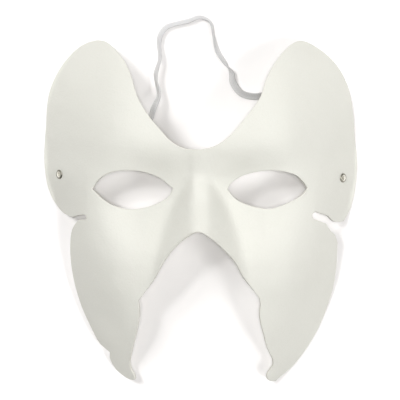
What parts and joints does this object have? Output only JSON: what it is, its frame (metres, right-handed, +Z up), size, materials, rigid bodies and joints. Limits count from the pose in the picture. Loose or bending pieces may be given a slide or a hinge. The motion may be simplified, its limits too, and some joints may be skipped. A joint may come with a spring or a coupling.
{
  "type": "butterfly half mask",
  "caption": "Blank papier-mache butterfly half mask with eye holes, a narrow nose bridge, slots between the wings, and a flat elastic strap held by hollow metal eyelets.",
  "frame": {"origin": "on the table, under the middle of the sheet's outer box, the mask lying face up on its rim", "axes": "+Z up out of the mask's face, +Y towards the upper wings, +X to the right as the face is seen from the front"},
  "size_m": [0.1708, 0.1997, 0.0567],
  "materials": {
    "paper_pulp": "matt moulded pulp",
    "eyelet_metal": "plated",
    "elastic": "woven"
  },
  "bodies": {
    "root": {"mask_shell": "paper_pulp", "eyelet_left": "eyelet_metal", "eyelet_right": "eyelet_metal", "elastic_strap": "elastic"}
  },
  "joints": []
}
